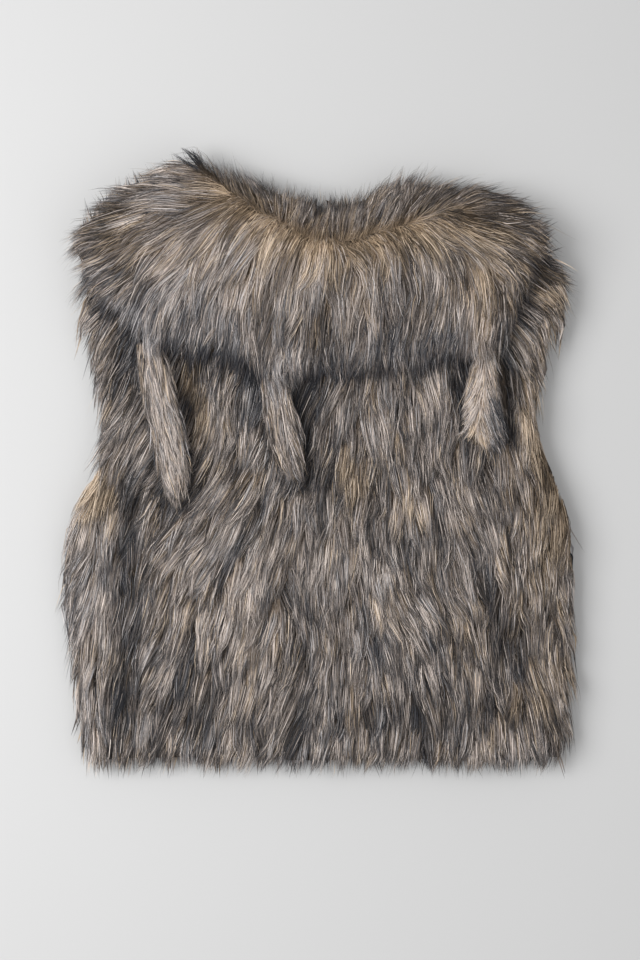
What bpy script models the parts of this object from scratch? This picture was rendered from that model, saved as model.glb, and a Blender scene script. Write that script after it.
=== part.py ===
"""Faux fur vest lying face down on a flat surface, so that its back and its wide cape collar show.

Every cloth piece is a wall: knitted backing plus its combed pile, as thick as the fur really stands
when the garment lies flat. X runs across the garment, +Y towards the neck and +Z up from the surface
it lies on. All tables are in millimetres and the meshes in metres.
"""
import math
from collections import namedtuple

import bmesh
import bpy
from mathutils import Vector

MM = 0.001
SEAM_GAP = 0.4            # left between pieces at a seam and between layers that lie on each other

# Thickness of the layers where the vest lies flat, from the surface up
FRONT_PILE = 13.0         # front panels, fur down, pressed by their own weight
BACK_PILE = 18.0          # back panel, fur up
PRESSED_FRONT = 9.0       # the same panels where the collar lies over and under them
PRESSED_BACK = 14.5
COLLAR_UNDER = 12.0       # the collar's front halves, between the front panels and the surface
COLLAR_PILE = 17.0        # the collar's fall over the back
CREST_RISE = 4.0          # extra height of the collar where it rolls over the neck
NECK_BAND_TOP = 37.0      # top of the front collar where it shows beyond the back collar
SHOULDER_SPLIT = 25.0     # height at which the back collar meets the front halves
RAMP_START, RAMP_END = -45.0, 84.0      # where the body rises over the hidden front collar
HEEL_START, HEEL_END = 0.0, 70.0        # where the fur below it leaves the surface
RIM = 1.2                 # half the height of the upright rim at a panel's edge

Side = namedtuple("Side", "y left right")
Edge = namedtuple("Edge", "x y")
Fold = namedtuple("Fold", "x1 y1 x2 y2 depth half_width")
Station = namedtuple("Station", "x y width thickness")

# Reach of the body's fur at each height: hem corner, side seam, armhole and shoulder tip
BODY_SIDES = (
    Side(-301, -236, 246),
    Side(-233, -243, 251),
    Side(-133, -254, 256),
    Side(-88, -257, 257),
    Side(-43, -248, 253),
    Side(2, -226, 234),
    Side(62, -217, 216),
    Side(105, -227, 222),
    Side(152, -240, 243),
    Side(182, -241, 251),
    Side(205, -234, 246),
)
BODY_HEM = (
    Edge(-236, -301), Edge(-160, -300), Edge(-70, -299), Edge(-5, -303),
    Edge(60, -299), Edge(140, -303), Edge(200, -301), Edge(246, -297),
)
# Shoulder seams and neckline, hidden under the collar
BODY_TOP = (
    Edge(-234, 205), Edge(-200, 243), Edge(-160, 262), Edge(-122, 270), Edge(-76, 243),
    Edge(-35, 218), Edge(16, 202), Edge(70, 214), Edge(112, 228), Edge(140, 244),
    Edge(170, 246), Edge(205, 235), Edge(246, 205),
)
COLLAR_SIDES = (
    Side(182, -232, 210),
    Side(200, -243, 219),
    Side(215, -248, 229),
    Side(228, -247, 236),
)
COLLAR_HEM = (
    Edge(-232, 182), Edge(-195, 145), Edge(-160, 124), Edge(-120, 108), Edge(-70, 98),
    Edge(15, 89), Edge(65, 94), Edge(110, 101), Edge(150, 113), Edge(180, 131),
    Edge(198, 160), Edge(210, 182),
)
# The left and right stretches fold over the shoulders, and the middle rolls into the neck
COLLAR_ROLL = (
    Edge(-247, 228), Edge(-220, 263), Edge(-180, 287), Edge(-128, 303), Edge(-90, 279),
    Edge(-35, 244), Edge(16, 227), Edge(70, 241), Edge(112, 252), Edge(148, 277),
    Edge(200, 264), Edge(236, 228),
)
# The same line on the front halves, whose neck band shows above the back's roll
NECK_BAND = (
    Edge(-247, 228), Edge(-220, 263), Edge(-180, 287), Edge(-128, 303), Edge(-88, 296),
    Edge(-40, 281), Edge(16, 270), Edge(48, 277), Edge(84, 291), Edge(148, 281),
    Edge(200, 264), Edge(236, 228),
)

# Troughs in the back's fur: left side roll, both armhole rolls, then shallow partings of the pile
BACK_FOLDS = (
    Fold(-187, -28, -194, -93, 8.0, 12),
    Fold(-194, -93, -189, -173, 7.0, 12),
    Fold(-189, -173, -199, -273, 5.0, 13),
    Fold(192, 137, 177, 72, 6.0, 13),
    Fold(177, 72, 190, 12, 6.0, 13),
    Fold(-196, 132, -203, 62, 5.0, 13),
    Fold(158, -88, 182, -185, 4.5, 16),
    Fold(-50, -28, -104, -122, 3.0, 17),
    Fold(40, -120, 62, -205, 3.0, 16),
    Fold(-120, -170, -150, -250, 2.5, 16),
    Fold(182, -185, 172, -255, 3.5, 15),
    Fold(-22, -232, -28, -300, 3.5, 13),
    Fold(98, -238, 104, -300, 3.0, 13),
    Fold(-166, -246, -160, -300, 3.0, 12),
)
# Swells of the collar's fall, as negative troughs, and the hollows between them
COLLAR_FOLDS = (
    Fold(-150, 255, -172, 165, -4.0, 22),
    Fold(122, 245, 168, 150, -4.5, 20),
    Fold(10, 215, 15, 130, -3.0, 45),
    Fold(-105, 220, -112, 135, 3.0, 20),
    Fold(98, 195, 92, 120, 2.5, 20),
    Fold(205, 240, 188, 175, 3.5, 14),
)

# Centre line of each tail from the collar's edge to its tip
TAIL_LEFT = (
    Station(-171, 128, 26, 15), Station(-166, 108, 31, 17), Station(-160, 78, 34, 18),
    Station(-153, 42, 35, 18), Station(-147, 10, 32, 17), Station(-144, -16, 26, 15),
    Station(-144, -34, 17, 11), Station(-143, -45, 6, 6),
)
TAIL_MIDDLE = (
    Station(-47, 94, 27, 14), Station(-45, 80, 32, 16), Station(-41, 56, 34, 17),
    Station(-36, 30, 34, 17), Station(-30, 6, 30, 16), Station(-25, -8, 22, 13),
    Station(-18, -19, 7, 7),
)
TAIL_RIGHT = (
    Station(167, 120, 24, 14), Station(163, 104, 29, 16), Station(160, 82, 33, 17),
    Station(160, 58, 37, 17), Station(162, 36, 42, 16), Station(164, 22, 38, 12),
    Station(165, 14, 24, 7),
)
TAIL_SIDES = 12           # points round each section of a tail

FUR_BROWN = (0.155, 0.134, 0.122)
FUR_COLLAR = (0.190, 0.162, 0.144)
FUR_TAIL = (0.300, 0.250, 0.215)


def clear_scene():
    for item in list(bpy.data.objects):
        bpy.data.objects.remove(item, do_unlink=True)


def fur_material(name, colour, roughness):
    material = bpy.data.materials.new(name)
    material.use_nodes = True
    shader = material.node_tree.nodes["Principled BSDF"]
    shader.inputs["Base Color"].default_value = (*colour, 1.0)
    shader.inputs["Roughness"].default_value = roughness
    shader.inputs["Metallic"].default_value = 0.0
    return material


def smoothstep(t):
    t = min(max(t, 0.0), 1.0)
    return t * t * (3.0 - 2.0 * t)


def mix(a, b, share):
    return a + (b - a) * share


def curve_through(keys, values, at):
    """A smooth line through the table's points, read at one key; the ends are held."""
    if at <= keys[0]:
        return values[0]
    if at >= keys[-1]:
        return values[-1]
    i = max(k for k in range(len(keys) - 1) if keys[k] <= at)

    def slope(k):
        before, after = max(k - 1, 0), min(k + 1, len(keys) - 1)
        return (values[after] - values[before]) / (keys[after] - keys[before])

    span = keys[i + 1] - keys[i]
    t = (at - keys[i]) / span
    return (
        (2 * t**3 - 3 * t**2 + 1) * values[i]
        + (t**3 - 2 * t**2 + t) * span * slope(i)
        + (3 * t**2 - 2 * t**3) * values[i + 1]
        + (t**3 - t**2) * span * slope(i + 1)
    )


def edge_y(table, x):
    return curve_through([row.x for row in table], [row.y for row in table], x)


def side_x(table, y, side):
    return curve_through([row.y for row in table], [getattr(row, side) for row in table], y)


def coons_point(u, v, hem, top, left, right):
    """Plan position inside four edges. hem and top give y for an x, left and right give x for a y."""
    low_left, low_right = hem[0], hem[-1]
    high_left, high_right = top[0], top[-1]
    along_hem = mix(low_left.x, low_right.x, u)
    along_top = mix(high_left.x, high_right.x, u)
    up_left = mix(low_left.y, high_left.y, v)
    up_right = mix(low_right.y, high_right.y, v)
    x = mix(along_hem, along_top, v) + mix(left(up_left), right(up_right), u)
    x -= mix(mix(low_left.x, high_left.x, v), mix(low_right.x, high_right.x, v), u)
    y = mix(edge_y(hem, along_hem), edge_y(top, along_top), v)
    return x, y


def folds_at(folds, x, y):
    """How far the troughs lower the surface at a point; swells count as negative troughs."""
    total = 0.0
    for fold in folds:
        start, end = Vector((fold.x1, fold.y1)), Vector((fold.x2, fold.y2))
        run = end - start
        t = min(max((Vector((x, y)) - start).dot(run) / run.length_squared, 0.0), 1.0)
        away = (Vector((x, y)) - start - run * t).length
        total += fold.depth * math.exp(-((away / fold.half_width) ** 2))
    return total


def ramp(y, start=RAMP_START, end=RAMP_END):
    """0 where the body lies on the surface, 1 where it lies on the hidden front collar."""
    return smoothstep((y - start) / (end - start))


def front_low(y):
    return ramp(y, HEEL_START, HEEL_END) * (COLLAR_UNDER + SEAM_GAP)


def front_high(y):
    return mix(FRONT_PILE, COLLAR_UNDER + SEAM_GAP + PRESSED_FRONT, ramp(y))


def back_low(y):
    return front_high(y) + SEAM_GAP


def back_high(y):
    return mix(FRONT_PILE + SEAM_GAP + BACK_PILE, back_low(RAMP_END) + PRESSED_BACK, ramp(y))


def back_surface(x, y):
    return back_high(y) - folds_at(BACK_FOLDS, x, y)


def beyond_body(x, y, clear=2.0):
    """0 over the body, 1 just past its shoulder seam or neckline, which clear keeps it off."""
    return smoothstep((y - edge_y(BODY_TOP, x) - clear) / 13.0)


def collar_low(x, y):
    return mix(back_high(y) + SEAM_GAP, SHOULDER_SPLIT + SEAM_GAP / 2, beyond_body(x, y))


def collar_high(x, y):
    to_roll = (edge_y(COLLAR_ROLL, x) - y) / 75.0
    lift = CREST_RISE * (1.0 - smoothstep(to_roll))
    return back_high(RAMP_END) + SEAM_GAP + COLLAR_PILE + lift - folds_at(COLLAR_FOLDS, x, y)


def under_collar_high(x, y):
    roll = edge_y(COLLAR_ROLL, x)
    band = smoothstep((edge_y(NECK_BAND, x) - roll - 6.0) / 22.0)
    rise = smoothstep((y - roll - 6.0) / 12.0) * band
    seam = mix(COLLAR_UNDER, SHOULDER_SPLIT - SEAM_GAP / 2, beyond_body(x, y, clear=6.0))
    return mix(seam, NECK_BAND_TOP, rise)


def quarter_round(distance, radius):
    """0 at an edge, 1 from one radius inwards, round between."""
    t = min(max(distance / radius, 0.0), 1.0)
    return math.sqrt(1.0 - (1.0 - t) ** 2)


def crowded_to_edges(t, amount=0.5):
    """Draws evenly spaced grid lines towards both edges, where the wall rounds off."""
    return t - amount * math.sin(2.0 * math.pi * t) / (2.0 * math.pi)


def keep(name, mesh_builder, material, collection):
    mesh = bpy.data.meshes.new(name)
    mesh_builder.to_mesh(mesh)
    mesh_builder.free()
    mesh.materials.append(material)
    mesh.shade_smooth()
    item = bpy.data.objects.new(name, mesh)
    collection.objects.link(item)
    return item


def fur_panel(name, plan, low, high, rows, columns, radius_top, radius_low, rim_share, material, collection):
    """A closed fur wall: a grid and its lower copy, laid out in plan and given their heights.

    plan(u, v) is the position in plan, low(x, y) and high(x, y) the wall's two surfaces.
    rim_share is how high in the wall its outermost edge lies.
    """
    grid = bmesh.new()
    bmesh.ops.create_grid(grid, x_segments=columns, y_segments=rows, size=1.0)
    copied = bmesh.ops.extrude_face_region(grid, geom=grid.faces[:])
    lower = {item for item in copied["geom"] if isinstance(item, bmesh.types.BMVert)}
    for point in grid.verts:
        u = crowded_to_edges((point.co.x + 1.0) / 2.0)
        v = crowded_to_edges((point.co.y + 1.0) / 2.0)
        x, y = plan(u, v)
        across = (Vector(plan(1.0, v)) - Vector(plan(0.0, v))).length
        along = (Vector(plan(u, 1.0)) - Vector(plan(u, 0.0))).length
        from_side, from_end = min(u, 1.0 - u) * across, min(v, 1.0 - v) * along
        under, over = low(x, y), high(x, y)
        middle = mix(under, over, rim_share)
        if point in lower:
            share = quarter_round(from_side, radius_low) * quarter_round(from_end, radius_low)
            z = mix(middle - RIM, under, share)
        else:
            share = quarter_round(from_side, radius_top) * quarter_round(from_end, radius_top)
            z = mix(middle + RIM, over, share)
        point.co = Vector((x, y, z)) * MM
    bmesh.ops.recalc_face_normals(grid, faces=grid.faces[:])
    return keep(name, grid, material, collection)


def body_plan(u, v):
    return coons_point(
        u, v, BODY_HEM, BODY_TOP,
        lambda y: side_x(BODY_SIDES, y, "left"),
        lambda y: side_x(BODY_SIDES, y, "right"),
    )


def half_of(table, side):
    """The left or right part of an edge table, cut at the centre front with the seam's gap."""
    cut = -SEAM_GAP if side == "left" else SEAM_GAP
    middle = Edge(cut, edge_y(table, cut))
    if side == "left":
        return tuple(row for row in table if row.x < cut - 1.0) + (middle,)
    return (middle,) + tuple(row for row in table if row.x > cut + 1.0)


def half_plan(hem, top, sides, side):
    """Plan of a left or right piece that ends at the straight centre front."""
    half_hem, half_top = half_of(hem, side), half_of(top, side)

    def outer(y):
        return side_x(sides, y, side)

    def centre(_):
        return half_hem[-1].x if side == "left" else half_hem[0].x

    left, right = (outer, centre) if side == "left" else (centre, outer)
    return lambda u, v: coons_point(u, v, half_hem, half_top, left, right)


def collar_plan(u, v):
    return coons_point(
        u, v, COLLAR_HEM, COLLAR_ROLL,
        lambda y: side_x(COLLAR_SIDES, y, "left"),
        lambda y: side_x(COLLAR_SIDES, y, "right"),
    )


def make_back(material, collection):
    return fur_panel(
        "back", body_plan, lambda x, y: back_low(y), back_surface,
        rows=34, columns=28, radius_top=19.0, radius_low=5.0, rim_share=0.25,
        material=material, collection=collection,
    )


def make_front(side, material, collection):
    return fur_panel(
        f"front_{side}", half_plan(BODY_HEM, BODY_TOP, BODY_SIDES, side),
        lambda x, y: front_low(y), lambda x, y: front_high(y),
        rows=34, columns=12, radius_top=4.0, radius_low=8.0, rim_share=0.62,
        material=material, collection=collection,
    )


def make_collar_back(material, collection):
    return fur_panel(
        "collar_back", collar_plan, collar_low, collar_high,
        rows=14, columns=32, radius_top=19.0, radius_low=8.0, rim_share=0.30,
        material=material, collection=collection,
    )


def make_collar_front(side, material, collection):
    return fur_panel(
        f"collar_front_{side}", half_plan(COLLAR_HEM, NECK_BAND, COLLAR_SIDES, side),
        lambda x, y: 0.0, under_collar_high,
        rows=16, columns=18, radius_top=11.0, radius_low=9.0, rim_share=0.55,
        material=material, collection=collection,
    )


def make_tail(name, stations, material, collection):
    """A stuffed strip of fur, flat where it lies on the back and round above."""
    tail = bmesh.new()
    rings = []
    for i, here in enumerate(stations):
        before, after = stations[max(i - 1, 0)], stations[min(i + 1, len(stations) - 1)]
        run = Vector((after.x - before.x, after.y - before.y)).normalized()
        across = Vector((-run.y, run.x))
        ring = []
        for k in range(TAIL_SIDES):
            turn = 2.0 * math.pi * k / TAIL_SIDES
            place = Vector((here.x, here.y)) + across * (math.cos(turn) * here.width / 2.0)
            place.y = min(place.y, edge_y(COLLAR_HEM, place.x) - SEAM_GAP)
            height = here.thickness * (0.42 + 0.58 * math.sin(turn))
            if math.sin(turn) < 0.0:
                height = here.thickness * 0.42 * (1.0 + math.sin(turn))
            floor = back_high(place.y) + SEAM_GAP
            ring.append(tail.verts.new(Vector((place.x, place.y, floor + height)) * MM))
        rings.append(ring)
    for lower, upper in zip(rings, rings[1:]):
        for k in range(TAIL_SIDES):
            nxt = (k + 1) % TAIL_SIDES
            tail.faces.new((lower[k], lower[nxt], upper[nxt], upper[k]))
    tail.faces.new(rings[0])
    tail.faces.new(rings[-1])
    bmesh.ops.recalc_face_normals(tail, faces=tail.faces[:])
    return keep(name, tail, material, collection)


def centre_on_origin(pieces):
    """Puts the origin under the middle of the vest, on the surface it lies on."""
    points = [piece.matrix_world @ v.co for piece in pieces for v in piece.data.vertices]
    middle_x = (min(p.x for p in points) + max(p.x for p in points)) / 2.0
    middle_y = (min(p.y for p in points) + max(p.y for p in points)) / 2.0
    for piece in pieces:
        piece.location = (-middle_x, -middle_y, 0.0)


def build_vest():
    clear_scene()
    collection = bpy.data.collections.new("faux_fur_vest")
    bpy.context.scene.collection.children.link(collection)
    body_fur = fur_material("body_fur", FUR_BROWN, 0.85)
    collar_fur = fur_material("collar_fur", FUR_COLLAR, 0.82)
    tail_fur = fur_material("tail_fur", FUR_TAIL, 0.80)
    pieces = [make_back(body_fur, collection), make_collar_back(collar_fur, collection)]
    for side in ("left", "right"):
        pieces.append(make_front(side, body_fur, collection))
        pieces.append(make_collar_front(side, collar_fur, collection))
    tails = (("tail_left", TAIL_LEFT), ("tail_middle", TAIL_MIDDLE), ("tail_right", TAIL_RIGHT))
    for name, stations in tails:
        pieces.append(make_tail(name, stations, tail_fur, collection))
    centre_on_origin(pieces)


build_vest()
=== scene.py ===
# Faux fur vest laid face down. The cloth pieces come from the frame, and each gets a backing
# and a pile of hair. Lengths in the tables are in mm, with x and y from the middle of the vest.
import math

import bpy
import numpy as np
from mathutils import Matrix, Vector
from mathutils.bvhtree import BVHTree
from mathutils.kdtree import KDTree


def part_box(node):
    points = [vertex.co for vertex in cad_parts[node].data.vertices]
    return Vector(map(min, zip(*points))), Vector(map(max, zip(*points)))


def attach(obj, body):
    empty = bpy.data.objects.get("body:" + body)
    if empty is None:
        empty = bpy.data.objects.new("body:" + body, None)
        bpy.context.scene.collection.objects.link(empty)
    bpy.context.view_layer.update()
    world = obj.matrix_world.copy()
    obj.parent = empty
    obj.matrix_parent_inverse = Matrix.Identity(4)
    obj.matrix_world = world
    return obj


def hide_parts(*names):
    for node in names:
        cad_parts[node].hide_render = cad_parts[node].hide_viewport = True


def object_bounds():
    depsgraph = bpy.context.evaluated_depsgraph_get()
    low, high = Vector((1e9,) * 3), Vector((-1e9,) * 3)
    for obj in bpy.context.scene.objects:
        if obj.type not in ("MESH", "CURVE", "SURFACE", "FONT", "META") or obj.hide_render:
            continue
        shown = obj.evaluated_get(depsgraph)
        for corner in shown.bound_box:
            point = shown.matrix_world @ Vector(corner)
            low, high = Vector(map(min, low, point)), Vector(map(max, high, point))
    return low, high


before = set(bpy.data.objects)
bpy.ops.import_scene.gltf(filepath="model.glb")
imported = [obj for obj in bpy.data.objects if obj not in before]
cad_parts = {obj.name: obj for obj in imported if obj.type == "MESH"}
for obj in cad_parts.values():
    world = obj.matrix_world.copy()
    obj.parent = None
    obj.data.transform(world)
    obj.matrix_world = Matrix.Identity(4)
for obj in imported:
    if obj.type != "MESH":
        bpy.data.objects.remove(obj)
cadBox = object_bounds()
mm = 0.001
print("frame loaded,", len(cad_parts), "cloth pieces")


# Reading the cloth pieces

gridStep = 2.5  # mm between the points where heights are read
gridEdge = 60.0  # mm that the grid goes past the vest, for the tips of its hair
rayStart = 1.0  # m above and below the vest
overNeighbour = 1.5  # mm that hair past the rim of a piece lies above what is beside it
gridX = np.arange(cadBox[0].x / mm - gridEdge, cadBox[1].x / mm + gridEdge, gridStep)
gridY = np.arange(cadBox[0].y / mm - gridEdge, cadBox[1].y / mm + gridEdge, gridStep)


def readHeights(node):
    # Top and underside of a piece over the grid, empty where the piece isn't
    low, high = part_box(node)
    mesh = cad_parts[node].data
    tree = BVHTree.FromPolygons([v.co for v in mesh.vertices], [p.vertices for p in mesh.polygons])
    top = np.full((len(gridY), len(gridX)), np.nan)
    under = top.copy()
    for row in np.flatnonzero((gridY > low.y / mm) & (gridY < high.y / mm)):
        for col in np.flatnonzero((gridX > low.x / mm) & (gridX < high.x / mm)):
            spot = gridX[col] * mm, gridY[row] * mm
            above = tree.ray_cast(Vector((*spot, rayStart)), Vector((0, 0, -1)))[0]
            below = tree.ray_cast(Vector((*spot, -rayStart)), Vector((0, 0, 1)))[0]
            if above and below:
                top[row, col] = above.z / mm
                under[row, col] = below.z / mm
    return {"top": top, "under": under}


def measureOutline(piece):
    # Adds how far each place is past the outline, negative inside it, and carries the rim's heights outwards
    top, under = piece["top"], piece["under"]
    inside = ~np.isnan(top)
    inner = inside.copy()
    inner[1:-1, 1:-1] &= inside[:-2, 1:-1] & inside[2:, 1:-1] & inside[1:-1, :-2] & inside[1:-1, 2:]
    rimCells = np.argwhere(inside & ~inner)
    rim = KDTree(len(rimCells))
    for i, (row, col) in enumerate(rimCells):
        rim.insert((gridX[col], gridY[row], 0.0), i)
    rim.balance()
    reach = np.zeros_like(top)
    for row, yHere in enumerate(gridY):
        for col, xHere in enumerate(gridX):
            _, i, away = rim.find((xHere, yHere, 0.0))
            reach[row, col] = -away - gridStep / 2 if inside[row, col] else away - gridStep / 2
            if not inside[row, col]:
                top[row, col] = top[tuple(rimCells[i])]
                under[row, col] = under[tuple(rimCells[i])]
    slopeY, slopeX = np.gradient(reach, gridStep)
    piece.update({"reach": reach, "outX": slopeX, "outY": slopeY})


def joinPieces(parts):
    # The whole vest as one piece, with the narrow gaps between its parts closed
    top = np.fmax.reduce([part["top"] for part in parts])
    under = np.fmin.reduce([part["under"] for part in parts])
    for field in (top, under):
        both = np.isnan(field[:, 1:-1]) & ~np.isnan(field[:, :-2]) & ~np.isnan(field[:, 2:])
        field[:, 1:-1] = np.where(both, np.fmin(field[:, :-2], field[:, 2:]), field[:, 1:-1])
    return {"top": top, "under": under}


def drape(piece, slope):
    # The height that hair lies on: the piece's own top, then falling from its rim to what is beside it
    beside = np.where(whole["reach"] < 0, whole["top"] + overNeighbour, 0.0)
    falling = piece["top"] - slope * piece["reach"]
    piece["drape"] = np.where(piece["reach"] < 0, piece["top"], np.maximum(beside, falling))


def readAt(piece, what, x, y):
    # A value of a piece at any places, from the four grid points round each
    col = np.clip((x - gridX[0]) / gridStep, 0, len(gridX) - 1.001)
    row = np.clip((y - gridY[0]) / gridStep, 0, len(gridY) - 1.001)
    c, r = col.astype(int), row.astype(int)
    u, v = col - c, row - r
    values = piece[what]
    lower = values[r, c] * (1 - u) + values[r, c + 1] * u
    upper = values[r + 1, c] * (1 - u) + values[r + 1, c + 1] * u
    return lower * (1 - v) + upper * v


def smooth(t):
    t = np.clip(t, 0.0, 1.0)
    return t * t * (3.0 - 2.0 * t)


pieces = {name: readHeights(name) for name in sorted(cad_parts)}
whole = joinPieces(pieces.values())
for piece in (whole, *pieces.values()):
    measureOutline(piece)
print("heights read from", ", ".join(pieces))


# Materials

def addInput(group, name, value):
    # A colour socket where the value is a colour, and a number socket otherwise
    kind = "NodeSocketColor" if isinstance(value, tuple) else "NodeSocketFloat"
    socket = group.interface.new_socket(name, in_out="INPUT", socket_type=kind)
    socket.default_value = (*value, 1.0) if isinstance(value, tuple) else value


def addNode(tree, kind, **settings):
    node = tree.nodes.new(kind)
    for key, value in settings.items():
        setattr(node, key, value)
    return node


def mixColors(tree, share, first, second, blendType="MIX"):
    node = addNode(tree, "ShaderNodeMix", data_type="RGBA", blend_type=blendType)
    for socket, value in ((node.inputs[0], share), (node.inputs[6], first), (node.inputs[7], second)):
        if isinstance(value, bpy.types.NodeSocket):
            tree.links.new(value, socket)
        else:
            socket.default_value = value
    return node.outputs[2]


def mapNumber(tree, value, fromLow, fromHigh, toLow=0.0, toHigh=1.0):
    node = addNode(tree, "ShaderNodeMapRange", interpolation_type="SMOOTHSTEP")
    tree.links.new(value, node.inputs["Value"])
    limits = (("From Min", fromLow), ("From Max", fromHigh), ("To Min", toLow), ("To Max", toHigh))
    for name, number in limits:
        if isinstance(number, bpy.types.NodeSocket):
            tree.links.new(number, node.inputs[name])
        else:
            node.inputs[name].default_value = number
    return node.outputs["Result"]


hairShades = {
    # Middle of a hair in three families, each from its darkest to its palest
    "slate": ((0.014, 0.016, 0.023), (0.070, 0.072, 0.083), (0.262, 0.250, 0.254), (0.680, 0.640, 0.630)),
    "taupe": ((0.018, 0.015, 0.014), (0.092, 0.077, 0.069), (0.330, 0.278, 0.248), (0.820, 0.715, 0.645)),
    "tan": ((0.030, 0.020, 0.012), (0.136, 0.096, 0.060), (0.415, 0.316, 0.222), (0.830, 0.670, 0.510)),
    "root": (0.560, 0.400, 0.250),
    "tip": (0.032, 0.034, 0.043),
}
hairFamilies = ("slate", "taupe", "tan")
hairLook = {
    # places along a hair, from 0 at its root to 1 at its tip, and its finish
    "rootFrom": 0.05,
    "tipTo": 0.97,
    "tipShare": 0.92,
    "roughFrom": 0.2,
    "rootRoughness": 0.62,
    "tipRoughness": 0.46,
    "specular": 0.35,
    "darkestRoot": (0.10, 0.09, 0.08),
}
shadeMargin, tintMargin = 0.01, 0.03  # kept free at both ends of a family's part of the ramp


def makeHairShades():
    # Colour along a hair: a tan root, its own middle, and a slate tip. Tint tells the hairs apart.
    group = bpy.data.node_groups.new("hairShades", "ShaderNodeTree")
    for name, value in (("Tint", 0.5), ("Along", 0.5), ("Root Color", hairShades["root"]),
                        ("Tip Color", hairShades["tip"]), ("Root Share", 0.62), ("Root End", 0.30),
                        ("Tip Start", 0.62)):
        addInput(group, name, value)
    group.interface.new_socket("Color", in_out="OUTPUT", socket_type="NodeSocketColor")
    group.interface.new_socket("Roughness", in_out="OUTPUT", socket_type="NodeSocketFloat")
    source = addNode(group, "NodeGroupInput")
    result = addNode(group, "NodeGroupOutput")
    ramp = addNode(group, "ShaderNodeValToRGB")
    # Each family has a third of the ramp, with its four shades spread over it
    families = len(hairFamilies)
    stops = [((f + shadeMargin + (1 - 2 * shadeMargin) * step / 3) / families, shade)
             for f, family in enumerate(hairFamilies) for step, shade in enumerate(hairShades[family])]
    for element, (place, shade) in zip(ramp.color_ramp.elements, (stops[0], stops[-1])):
        element.position, element.color = place, (*shade, 1)
    for place, shade in stops[1:-1]:
        ramp.color_ramp.elements.new(place).color = (*shade, 1)
    group.links.new(source.outputs["Tint"], ramp.inputs[0])
    # A pale hair has a pale root: the place within its family gives how pale
    inFamily = addNode(group, "ShaderNodeMath", operation="MULTIPLY")
    inFamily.inputs[1].default_value = families
    group.links.new(source.outputs["Tint"], inFamily.inputs[0])
    paleness = addNode(group, "ShaderNodeMath", operation="FRACT")
    group.links.new(inFamily.outputs[0], paleness.inputs[0])
    rootTone = addNode(group, "ShaderNodeValToRGB")
    rootTone.color_ramp.elements[0].color = (*hairLook["darkestRoot"], 1)
    rootTone.color_ramp.elements[1].color = (1.0, 1.0, 1.0, 1)
    group.links.new(paleness.outputs[0], rootTone.inputs[0])
    rootColor = mixColors(group, 1.0, source.outputs["Root Color"], rootTone.outputs[0], "MULTIPLY")
    rootShare = mapNumber(group, source.outputs["Along"], hairLook["rootFrom"], source.outputs["Root End"],
                          source.outputs["Root Share"], 0.0)
    withRoot = mixColors(group, rootShare, ramp.outputs[0], rootColor)
    tipShare = mapNumber(group, source.outputs["Along"], source.outputs["Tip Start"], hairLook["tipTo"],
                         0.0, hairLook["tipShare"])
    withTip = mixColors(group, tipShare, withRoot, source.outputs["Tip Color"])
    group.links.new(withTip, result.inputs["Color"])
    roughness = mapNumber(group, source.outputs["Along"], hairLook["roughFrom"], 1.0,
                          hairLook["rootRoughness"], hairLook["tipRoughness"])
    group.links.new(roughness, result.inputs["Roughness"])
    return group


def newMaterial(name):
    material = bpy.data.materials.new(name)
    material.use_nodes = True
    return material, material.node_tree, material.node_tree.nodes["Principled BSDF"]


def makeHairMaterial(name, shades, rootShare, rootEnd, tipStart):
    material, tree, shader = newMaterial(name)
    place = addNode(tree, "ShaderNodeUVMap", uv_map="OFBake")
    parts = addNode(tree, "ShaderNodeSeparateXYZ")
    group = addNode(tree, "ShaderNodeGroup", node_tree=shades)
    group.inputs["Root Share"].default_value = rootShare
    group.inputs["Root End"].default_value = rootEnd
    group.inputs["Tip Start"].default_value = tipStart
    tree.links.new(place.outputs["UV"], parts.inputs[0])
    tree.links.new(parts.outputs["X"], group.inputs["Tint"])
    tree.links.new(parts.outputs["Y"], group.inputs["Along"])
    tree.links.new(group.outputs["Color"], shader.inputs["Base Color"])
    tree.links.new(group.outputs["Roughness"], shader.inputs["Roughness"])
    shader.inputs["Specular IOR Level"].default_value = hairLook["specular"]
    return material


underfurLook = {
    "streaks": (900.0, 110.0, 300.0),  # in each metre
    "detail": 4.0,
    "between": (0.35, 0.68),  # where the dark colour turns into the pale one
    "bump": 0.6,
    "bumpDepth": 0.002,
    "roughness": 0.9,
}


def makeBackingMaterial(name, dark, pale):
    # Short dense underfur on the knitted backing, combed towards the hem
    material, tree, shader = newMaterial(name)
    place = addNode(tree, "ShaderNodeTexCoord")
    stretch = addNode(tree, "ShaderNodeMapping")
    stretch.inputs["Scale"].default_value = underfurLook["streaks"]
    streaks = addNode(tree, "ShaderNodeTexNoise")
    streaks.inputs["Scale"].default_value = 1.0
    streaks.inputs["Detail"].default_value = underfurLook["detail"]
    tree.links.new(place.outputs["Object"], stretch.inputs["Vector"])
    tree.links.new(stretch.outputs["Vector"], streaks.inputs["Vector"])
    share = mapNumber(tree, streaks.outputs["Fac"], *underfurLook["between"])
    tree.links.new(mixColors(tree, share, (*dark, 1), (*pale, 1)), shader.inputs["Base Color"])
    bump = addNode(tree, "ShaderNodeBump")
    bump.inputs["Strength"].default_value = underfurLook["bump"]
    bump.inputs["Distance"].default_value = underfurLook["bumpDepth"]
    tree.links.new(streaks.outputs["Fac"], bump.inputs["Height"])
    tree.links.new(bump.outputs["Normal"], shader.inputs["Normal"])
    shader.inputs["Roughness"].default_value = underfurLook["roughness"]
    return material


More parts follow.
